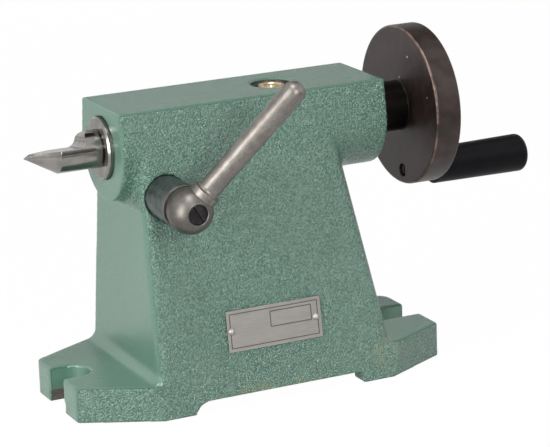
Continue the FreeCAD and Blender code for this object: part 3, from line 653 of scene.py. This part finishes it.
def points_of(piece):
    """The piece's points as one array, in metres."""
    flat = np.empty(len(piece.data.vertices) * 3)
    piece.data.vertices.foreach_get("co", flat)
    return flat.reshape(-1, 3)


def turn_about(piece, origin, axis, angle):
    """The piece's points turned about a line: what lies along the line stays, and what is square to it
    turns by the cosine and the sine of the angle."""
    points = points_of(piece) - np.array(origin) * mm
    level = points * math.cos(angle) + np.cross(axis, points) * math.sin(angle)
    level = level + np.outer(points @ axis, axis) * (1 - math.cos(angle)) + np.array(origin) * mm
    piece.data.vertices.foreach_set("co", level.ravel())


def cut_by(piece, cutters):
    """The piece less each cutter."""
    for cutter in cutters:
        change = piece.modifiers.new("cut", "BOOLEAN")
        change.operation = "DIFFERENCE"
        change.solver = "EXACT"
        change.object = cutter
    settled(piece)
    drop(cutters)


def broken_edges(piece, width, angle=35.0):
    """Sharp edges broken by a small bevel."""
    edges = piece.modifiers.new("edges", "BEVEL")
    edges.limit_method = "ANGLE"
    edges.angle_limit = math.radians(angle)
    edges.width = width * mm
    edges.segments = 2
    return settled(piece)


def dressed(piece, body, slot, *nodes, finish=None, sharp=40.0):
    """The finished piece on its body, with its finish, in place of the nodes that it stands for."""
    piece.data.shade_smooth()
    piece.data.set_sharp_from_angle(angle=math.radians(sharp))
    piece.data.materials.clear()
    piece.data.materials.append(paints[finish or slot])
    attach(piece, body)
    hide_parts(*nodes)
    return piece


def merged_copy(node, name):
    """A copy of a solid's mesh with its doubles merged."""
    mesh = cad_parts[node].data.copy()
    piece = linked(name, mesh)
    work = bmesh.new()
    work.from_mesh(mesh)
    bmesh.ops.remove_doubles(work, verts=work.verts, dist=2e-6)
    work.to_mesh(mesh)
    work.free()
    return piece


def softened(node, name, width):
    """A solid's copy with its flat faces joined and its edges broken."""
    flat_angle = math.radians(1.0)
    piece = merged_copy(node, name)
    work = bmesh.new()
    work.from_mesh(piece.data)
    bmesh.ops.dissolve_limit(work, angle_limit=flat_angle, verts=work.verts, edges=work.edges)
    work.to_mesh(piece.data)
    work.free()
    return broken_edges(piece, width)


# ---- The casting ----


def casting():
    """The casting as an even skin laid on the solid, its edges eased as enamel eases them."""
    skin_cell = 0.8
    sharp_foot = 2.5
    kept_share = 0.46
    source = merged_copy("body_casting", "casting_faces")
    piece = merged_copy("body_casting", "casting")
    skin = piece.modifiers.new("skin", "REMESH")
    skin.mode = "VOXEL"
    skin.voxel_size = skin_cell * mm
    settled(piece)
    wrap = piece.modifiers.new("wrap", "SHRINKWRAP")
    wrap.target = source
    wrap.wrap_method = "NEAREST_SURFACEPOINT"
    ease = piece.modifiers.new("ease", "SMOOTH")
    ease.factor = 0.5
    ease.iterations = 2
    settled(piece)
    above_foot = np.flatnonzero(points_of(piece)[:, 2] > sharp_foot * mm)
    painted = piece.vertex_groups.new(name="painted")
    painted.add(above_foot.tolist(), 1.0, "REPLACE")
    round_edges = piece.modifiers.new("round_edges", "SMOOTH")
    round_edges.factor = 0.5
    round_edges.iterations = 7
    round_edges.vertex_group = "painted"
    thin = piece.modifiers.new("thin", "DECIMATE")
    thin.ratio = kept_share
    settled(piece)
    piece.vertex_groups.clear()
    drop([source])
    return dressed(piece, "body", "green_enamel", "body_casting", sharp=60.0)


# ---- The spindle line ----


def quill():
    """The quill: a turned sleeve with a taper socket, its key slot cut below."""
    socket_end = quill_front + socket_depth
    floor_radius = socket_radius - socket_depth * socket_taper / 2
    nut_bore, nut_seat = 10.0, 17.9
    screw_bore = 7.6
    profile = rounded([
        (quill_front, socket_radius + 0.4, 0.0),
        (quill_front, quill_radius - 0.9, 0.2),
        (quill_front + 0.9, quill_radius, 0.2),
        (quill_rear - 1.5, quill_radius, 0.3),
        (quill_rear, quill_radius - 1.5, 0.2),
        (quill_rear, nut_bore, 0.1),
        (nut_seat, nut_bore, 0.1),
        (nut_seat, screw_bore, 0.1),
        (socket_end, screw_bore, 0.1),
        (socket_end, floor_radius, 0.0),
        (quill_front + 0.4, socket_radius, 0.0),
    ], closed=True)
    piece = solid("quill", *turned(profile, spindle, along_x, 192))
    cut_by(piece, [
        block((-10.5, -2.5, 108.5), (23.5, 2.5, 113.0)),
        rod(1.5, (27.9, 0.0, 133.0), along_z, 8.0, 48),
    ])
    return dressed(piece, "quill", "ground_steel", "quill_sleeve")


def half_centre():
    """The centre: a turned point and taper shank, ground away above its axis."""
    point = centre_radius / math.tan(math.radians(30.0))
    shoulder = quill_front - 0.5
    shank_end = quill_front + centre_shank
    neck = 8.5
    mouth = socket_radius - 0.01
    tail = mouth - centre_shank * socket_taper / 2
    profile = rounded([
        (centre_tip, 0.0, 0.0),
        (centre_tip + 0.12, 0.12, 0.0),
        (centre_tip + point, centre_radius, 0.6),
        (shoulder, centre_radius, 0.35),
        (shoulder, neck, 0.1),
        (quill_front - 0.3, neck, 0.1),
        (quill_front, mouth, 0.0),
        (shank_end - 1.0, tail, 0.2),
        (shank_end, tail - 1.0, 0.2),
        (shank_end, 0.0, 0.0),
    ])
    piece = solid("half_centre_point", *turned(profile, spindle, along_x, 192))
    end = centre_tip + flat_length
    crest = centre_radius - flat_above_axis - flat_run_out
    turns = np.linspace(0.0, math.pi / 2, 16)
    arc_x = np.concatenate([
        end + flat_run_out * np.sin(turns), end + flat_run_out + crest * (1 - np.cos(turns[1:]))
    ])
    arc_z = np.concatenate([
        flat_above_axis + flat_run_out * (1 - np.cos(turns)),
        flat_above_axis + flat_run_out + crest * np.sin(turns[1:]),
    ])
    line_x = np.concatenate([[centre_tip - 1.0], arc_x, arc_x[-1:], [centre_tip - 1.0]])
    line_z = np.concatenate([[flat_above_axis], arc_z, arc_z[-1:] + 1.0, arc_z[-1:] + 1.0]) + spindle_z
    cutter = prism(line_x, line_z, -12.0, 12.0)
    turn_about(cutter, spindle, along_x, -math.radians(flat_roll))
    cut_by(piece, [cutter])
    return dressed(piece, "quill", "ground_steel", "half_centre", sharp=25.0)


def handwheel():
    """The wheel: a turned disc with a long hub, a rear dish and a recess for its nut."""
    profile = rounded([
        (hub_front, 6.3, 0.0),
        (hub_front, hub_radius, 0.6),
        (wheel_front, hub_radius, 1.0),
        (wheel_front, wheel_radius, 1.3),
        (wheel_rear, wheel_radius, 1.3),
        (wheel_rear, wheel_radius - 12.0, 0.6),
        (wheel_rear - 3.0, wheel_radius - 15.0, 1.0),
        (wheel_rear - 3.0, 18.5, 1.0),
        (wheel_rear, 15.5, 0.6),
        (wheel_rear, 11.5, 0.4),
        (nut_floor, 11.5, 0.3),
        (nut_floor, 6.0, 0.0),
        (hub_front + 0.3, 6.0, 0.0),
    ], closed=True, arc=7)
    piece = solid("wheel", *turned(profile, spindle, along_x, 240))
    cut_by(piece, [
        block((hub_front - 0.5, -2.0, spindle_z), (nut_floor, 2.0, 132.61)),
        rod(3.25, crank + along_x * (wheel_front - 1.0), along_x, 16.0, 96),
        spindle_hole_mouth(),
    ])
    return dressed(piece, "screw", "browned_iron", "handwheel", sharp=35.0)


def spindle_hole_mouth():
    """The cone that breaks the edge of the crank spindle's hole."""
    profile = np.array([(-0.5, 0.0), (-0.5, 4.05), (0.3, 3.25), (0.3, 0.0)])
    return solid("cutter", *turned(profile, crank + along_x * wheel_front, along_x, 96))


def crank_pin():
    """The shouldered pin of the crank handle, with a slot in its sunk end."""
    start = wheel_front + 1.0
    shank, shoulder = 3.24, 5.7
    ring_seat = 3.4
    pin_end = 149.9
    profile = rounded([
        (start, 0.0, 0.0),
        (start, shank, 0.3),
        (wheel_rear, shank, 0.0),
        (wheel_rear, shoulder, 0.3),
        (wheel_rear + 2.0, shoulder, 0.3),
        (wheel_rear + 2.0, pin_radius, 0.1),
        (ring_front, pin_radius, 0.05),
        (ring_front, ring_seat, 0.0),
        (ring_rear, ring_seat, 0.0),
        (ring_rear, pin_radius, 0.05),
        (pin_end - 1.0, pin_radius, 0.1),
        (pin_end, pin_radius - 1.0, 0.2),
        (pin_end, 0.0, 0.0),
    ])
    piece = solid("crank_pin", *turned(profile, crank, along_x, 96))
    cut_by(piece, [
        block((start - 1.0, crank_y - 0.6, crank_z - 6.0), (start + 1.5, crank_y + 0.6, crank_z + 6.0))
    ])
    return dressed(piece, "screw", "blackened_steel", "handle_spindle", finish="black_screw")


def grip():
    """The plastic grip, with a blind bore for its pin."""
    grip_front, grip_rear = 108.2, 161.0
    ring_room = 4.6
    bore_end = 151.4
    profile = rounded([
        (grip_rear, 0.0, 0.0),
        (grip_rear, 9.65, 3.0),
        (grip_front + 0.5, 9.0, 0.6),
        (grip_front, 8.6, 0.2),
        (grip_front, grip_bore, 0.1),
        (ring_front, grip_bore, 0.0),
        (ring_front, ring_room, 0.0),
        (ring_rear, ring_room, 0.0),
        (ring_rear, grip_bore, 0.0),
        (bore_end, grip_bore, 0.0),
        (bore_end, 0.0, 0.0),
    ], arc=9)
    piece = solid("grip", *turned(profile, crank, along_x, 144))
    return dressed(piece, "grip", "black_plastic", "handle_grip")


def retainer():
    """The ring that closes the bearing bore, with two holes for a pin spanner."""
    journal_bore = 7.5
    profile = rounded([
        (retainer_front, journal_bore, 0.1),
        (retainer_front, bearing_radius, 0.2),
        (retainer_rear, bearing_radius, 0.4),
        (retainer_rear, journal_bore, 0.3),
    ], closed=True)
    piece = solid("retainer_ring", *turned(profile, spindle, along_x, 144))
    cut_by(piece, [
        rod(1.6, (retainer_rear - 5.0, side * 12.25, spindle_z), along_x, 6.0, 48) for side in (-1, 1)
    ])
    return dressed(piece, "body", "blackened_steel", "bearing_retainer")


# ---- The clamp lever ----


def collar_ring():
    """The bright ring behind the ball."""
    ring_radius = 10.4
    ring_back = hub_back + 1.5
    profile = rounded([
        (hub_back, stud_radius, 0.1),
        (hub_back, ring_radius, 0.3),
        (ring_back, ring_radius, 0.3),
        (ring_back, stud_radius, 0.1),
    ], closed=True)
    piece = solid("collar_ring", *turned(profile, clamp, along_y, 144))
    return dressed(piece, "lever", "satin_nickel", "lever_collar", finish="ball_nickel")


def ball_hub():
    """The ball hub: a sphere's arc between a short neck and a flat front with a screw recess."""
    neck = 9.3
    face = math.sqrt(ball_radius ** 2 - (ball_front - ball_y) ** 2)
    start = math.asin(neck / ball_radius)
    end = math.pi - math.asin(face / ball_radius)
    turns = np.linspace(start, end, 60)
    arc = np.stack([ball_y + ball_radius * np.cos(turns), ball_radius * np.sin(turns)], -1)
    back = rounded([(hub_back, 0.0, 0.0), (hub_back, neck, 0.25), (arc[0, 0], neck, 0.0)])[:-1]
    front = rounded([
        (arc[-1, 0], arc[-1, 1], 0.0),
        (ball_front, recess_radius + 0.25, 0.0),
        (ball_front + 0.25, recess_radius, 0.0),
        (ball_front + recess_depth, recess_radius, 0.1),
        (ball_front + recess_depth, 0.0, 0.0),
    ])[1:]
    piece = solid("ball_hub", *turned(np.concatenate([back, arc, front]), clamp, along_y, 168))
    half = 3.55
    cut_by(piece, [
        block((clamp_x - half, ball_front + 3.5, clamp_z - half), (clamp_x + half, -48.0, clamp_z + half)),
        rod(stud_radius, (clamp_x, -49.39, clamp_z), along_y, 1.5),
        rod(4.0, ball_centre + arm_line * 6.5, arm_line, ball_radius),
    ])
    return dressed(piece, "lever", "satin_nickel", "lever_hub", finish="ball_nickel", sharp=35.0)


def arm():
    """The lever arm: a stub in the ball, a flared foot, a slim neck, a slow taper and a round tip."""
    stub = 3.99
    flare = 6.9
    seat = ball_radius + 0.01
    radii = np.linspace(stub, flare, 8)
    foot = np.stack([np.sqrt(seat ** 2 - radii ** 2), radii], -1)
    foot_end = foot[-1, 0]
    neck = 5.2
    tip_start, tip_radius = 72.6, 5.5
    shaft = rounded([
        (foot_end, flare - 0.25, 0.0),
        (foot_end + 0.1, flare, 0.0),
        (11.9, flare, 0.25),
        (12.15, 6.05, 0.5),
        (12.7, 5.45, 0.8),
        (13.6, neck, 1.0),
        (19.6, neck, 12.0),
        (tip_start, tip_radius, 0.0),
    ])[1:-1]
    turns = np.linspace(math.pi / 2, 0.0, 20)
    tip = np.stack([tip_start + tip_radius * np.cos(turns), tip_radius * np.sin(turns)], -1)
    tip[-1, 1] = 0.0
    start = np.array([(6.8, 0.0), (6.8, stub)])
    profile = np.concatenate([start, foot, shaft, tip])
    piece = solid("arm", *turned(profile, ball_centre, arm_line, 144))
    return dressed(piece, "lever", "satin_nickel", "lever_arm", sharp=50.0)


def ball_screw():
    """The slotted screw in the ball."""
    head, head_radius = ball_front + 0.7, 4.6
    shank_end, shank_radius = -53.0, 2.5
    profile = rounded([
        (head, 0.0, 0.0),
        (head, head_radius, 0.3),
        (ball_front + recess_depth, head_radius, 0.0),
        (ball_front + recess_depth, shank_radius, 0.0),
        (shank_end, shank_radius, 0.2),
        (shank_end, 0.0, 0.0),
    ])
    piece = solid("ball_screw", *turned(profile, clamp, along_y, 96))
    slot_roll = math.radians(30.0)
    slot_block = block(
        (clamp_x - 0.55, ball_front - 1.0, clamp_z - 6.0), (clamp_x + 0.55, head + 1.2, clamp_z + 6.0)
    )
    turn_about(slot_block, clamp, along_y, -slot_roll)
    cut_by(piece, [slot_block])
    return dressed(piece, "lever", "blackened_steel", "lever_screw", finish="black_screw")


# ---- The oiler and the nameplate ----


def oiler_cup():
    """The brass cup, with a sunk ring round its mouth."""
    top = oiler_seat + 1.8
    profile = rounded([
        (140.1, 0.6, 0.0),
        (140.1, 3.49, 0.1),
        (oiler_seat, 3.49, 0.0),
        (oiler_seat, 6.5, 0.1),
        (top, 6.5, 0.3),
        (top, 5.1, 0.1),
        (top - 0.6, 4.5, 0.1),
        (top - 0.6, 2.3, 0.1),
        (top, 1.8, 0.1),
        (top, 1.3, 0.1),
        (top - 0.5, 1.3, 0.0),
        (top - 0.5, 1.8, 0.0),
        (140.4, 1.8, 0.0),
        (140.4, 0.6, 0.0),
    ], closed=True)
    piece = solid("oiler_cup", *turned(profile, oiler, along_z, 96))
    return dressed(piece, "body", "brass", "oiler_body")


def ball_spring():
    """The spring under the oiler's ball, on its own copy of the mesh."""
    piece = merged_copy("oiler_spring", "ball_spring")
    dressed(piece, "body", "ground_steel", "oiler_spring")
    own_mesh(piece)


def plate_rivets():
    """Two drive rivets with low domed heads."""
    height = 1.1
    half = 1.75
    shank_radius = 0.98
    sphere = (half ** 2 + height ** 2) / (2 * height)
    turns = np.linspace(math.asin(half / sphere), 0.0, 14)
    dome = np.stack([
        plate_thickness + height - sphere + sphere * np.cos(turns), sphere * np.sin(turns)
    ], -1)
    dome[-1, 1] = 0.0
    shank = np.array([
        (-4.5, 0.0), (-4.5, shank_radius), (plate_thickness, shank_radius), (plate_thickness, half - 0.05),
    ])
    profile = np.concatenate([shank, dome])
    points, faces = [], []
    for side in (-1, 1):
        place = plate_centre + along_x * (side * rivet_spacing / 2)
        more, cells = turned(profile, place, plate_normal, 64)
        faces += [[corner + sum(len(p) for p in points) for corner in cell] for cell in cells]
        points.append(more)
    piece = solid("plate_rivets", np.concatenate(points), faces)
    return dressed(piece, "body", "plate_aluminium", "nameplate_rivets")


casting()
quill()
half_centre()
handwheel()
crank_pin()
grip()
retainer()
collar_ring()
ball_hub()
arm()
ball_screw()
oiler_cup()
ball_spring()
plate_rivets()

# Solids that keep their shape and only have their edges broken, each with the width of its bevel
# and the angle from which an edge stays crisp
eased = (
    ("nameplate", "plate", "body", "plate_aluminium", 0.06, 12.0),
    ("front_cotter", "clamp_bush", "front_cotter", "blackened_steel", 0.3, 40.0),
    ("rear_cotter", "clamp_bush_rear", "rear_cotter", "blackened_steel", 0.2, 40.0),
    ("wheel_nut", "hub_nut", "screw", "blackened_steel", 0.3, 40.0),
    ("wheel_washer", "hub_washer", "screw", "blackened_steel", 0.15, 40.0),
)
for node, name, body, slot, width, crisp in eased:
    dressed(softened(node, name, width), body, slot, node, sharp=crisp)

# Solids inside the casting and the grip, which only need their finish
inside = {
    "feed_nut": "bronze",
    "nut_pin": "ground_steel",
    "quill_key": "ground_steel",
    "key_screw": "blackened_steel",
    "feed_screw": "ground_steel",
    "front_thrust_washer": "ground_steel",
    "rear_thrust_washer": "ground_steel",
    "handwheel_key": "ground_steel",
    "snap_ring": "ground_steel",
    "clamp_stud": "ground_steel",
    "oiler_ball": "ground_steel",
}
for node, slot in inside.items():
    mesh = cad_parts[node].data
    mesh.materials.clear()
    mesh.materials.append(paints[slot])


# ---- Floor, light and camera ----

square = np.array([(-1.0, -1.0), (1.0, -1.0), (1.0, 1.0), (-1.0, 1.0)])


def white_rays(start, direct=1.0, mirrored=1.0):
    """How white the background is to the camera's own rays, and to those in gloss and through glass."""
    rays = start.add("ShaderNodeLightPath", output="Is Camera Ray")
    outputs = rays.socket.node.outputs
    gloss = Link(start.tree, socket_of(outputs, "Is Glossy Ray"))
    through = Link(start.tree, socket_of(outputs, "Is Transmission Ray"))
    return larger(rays * direct, larger(gloss, through) * mirrored)


def staged_sheet(name, points, material):
    """One flat face beside or under the object."""
    mesh = bpy.data.meshes.new(name)
    mesh.from_pydata((points * mm).tolist(), [], [(0, 1, 2, 3)])
    mesh.materials.append(material)
    piece = linked(name, mesh)
    return piece


def floor():
    """A pale floor that shows white to the camera and keeps a faint shadow."""
    material, start = finish_of("pale_floor")
    plain = start.add("ShaderNodeBsdfDiffuse", inputs={"Color": (0.82, 0.82, 0.82)})
    white = start.add("ShaderNodeEmission", inputs={"Color": (1.0, 1.0, 1.0), "Strength": 1.0})
    mixed = start.add("ShaderNodeMixShader", inputs={0: white_rays(start, 0.985, 0.5), 1: plain, 2: white})
    start.add("ShaderNodeOutputMaterial", inputs={"Surface": mixed})
    reach, below = 6000.0, 0.05
    staged_sheet("floor", np.column_stack([square * reach, np.full(4, -below)]), material)


def studio_air():
    """White to the camera and in reflections, and a low even light on the object."""
    world = bpy.data.worlds.new("studio")
    bpy.context.scene.world = world
    start = new_tree(world)
    low = start.add("ShaderNodeBackground", inputs={"Color": (1.0, 1.0, 1.0), "Strength": 0.16})
    white = start.add("ShaderNodeBackground", inputs={"Color": (1.0, 1.0, 1.0), "Strength": 1.0})
    mixed = start.add("ShaderNodeMixShader", inputs={0: white_rays(start), 1: low, 2: white})
    start.add("ShaderNodeOutputWorld", inputs={"Surface": mixed})


def aimed(place, target):
    """Right, up and back, the axes of a lamp or a card at a place that faces a target."""
    back = np.array(place, float) - np.array(target, float)
    back = back / np.linalg.norm(back)
    right = np.cross(along_z, back)
    right = right / np.linalg.norm(right)
    return right, np.cross(back, right), back


def set_place(piece, place, right, up, back):
    """A lamp or a camera put at a place, with its axes."""
    matrix = np.eye(4)
    matrix[:3, 0] = right
    matrix[:3, 1] = up
    matrix[:3, 2] = back
    matrix[:3, 3] = np.array(place) * mm
    piece.matrix_world = Matrix(matrix.tolist())


def softbox(name, place, target, width, height, power, mirrored=True):
    """A rectangular lamp that faces a target; polished metal shows it where it is mirrored."""
    lamp = bpy.data.lights.new(name, "AREA")
    lamp.shape = "RECTANGLE"
    lamp.size = width * mm
    lamp.size_y = height * mm
    lamp.energy = power
    piece = linked(name, lamp)
    piece.visible_glossy = mirrored
    set_place(piece, place, *aimed(place, target))


def card(name, place, target, width, height, tone):
    """A plain card outside the picture, for the bands that polished metal shows."""
    material, start = finish_of(name)
    plain = start.add("ShaderNodeBsdfDiffuse", inputs={"Color": (tone, tone, tone)})
    start.add("ShaderNodeOutputMaterial", inputs={"Surface": plain})
    right, up = aimed(place, target)[:2]
    corners = square * (width / 2, height / 2)
    points = np.array(place) + corners[:, :1] * right + corners[:, 1:] * up
    staged_sheet(name, points, material).visible_camera = False


floor()
studio_air()
middle = (10.0, 0.0, 75.0)
softbox("left_softbox", (-760.0, -330.0, 230.0), (-60.0, 0.0, 60.0), 260.0, 760.0, 6.8)
softbox("front_softbox", (0.0, -1425.0, 640.0), middle, 420.0, 420.0, 10.5)
softbox("top_softbox", (-230.0, -330.0, 1500.0), middle, 420.0, 420.0, 9.5)
softbox("fill_softbox", (1300.0, -900.0, 700.0), middle, 700.0, 900.0, 2.2)
softbox("rear_softbox", (0.0, 1500.0, 500.0), middle, 700.0, 700.0, 8.0, mirrored=False)
card("front_card", (200.0, -520.0, 16.0), middle, 620.0, 60.0, 0.02)
card("tall_card", (560.0, -1180.0, 330.0), middle, 620.0, 520.0, 0.02)
card("over_card", (500.0, 480.0, 1050.0), middle, 560.0, 1000.0, 0.02)
card("back_card", (480.0, 950.0, 430.0), middle, 900.0, 560.0, 0.6)

# The camera stands at the photograph's place: azimuth, elevation, roll, distance and lens
camera_azimuth = math.radians(-25.41)
camera_elevation = math.radians(15.731)
camera_roll = math.radians(-1.986)
camera_distance = 1227.19
camera_target = np.array((21.81, 0.0, 73.0))
image_width = 550
lens_pixels = 2483.33
sensor_width = 36.0
centre_drop = 1.934

level = np.array((math.cos(camera_azimuth), math.sin(camera_azimuth), 0.0))
back = np.array((
    math.sin(camera_azimuth) * math.cos(camera_elevation),
    -math.cos(camera_azimuth) * math.cos(camera_elevation),
    math.sin(camera_elevation),
))
rise = np.cross(back, level)
view_right = level * math.cos(camera_roll) + rise * math.sin(camera_roll)
view_up = rise * math.cos(camera_roll) - level * math.sin(camera_roll)
camera_data = bpy.data.cameras.new("camera")
camera_data.sensor_width = sensor_width
camera_data.lens = lens_pixels / image_width * sensor_width
camera_data.shift_y = centre_drop / image_width
camera = linked("camera", camera_data)
set_place(camera, camera_target + back * camera_distance, view_right, view_up, back)
bpy.context.scene.camera = camera
bpy.context.scene.view_settings.view_transform = "Standard"
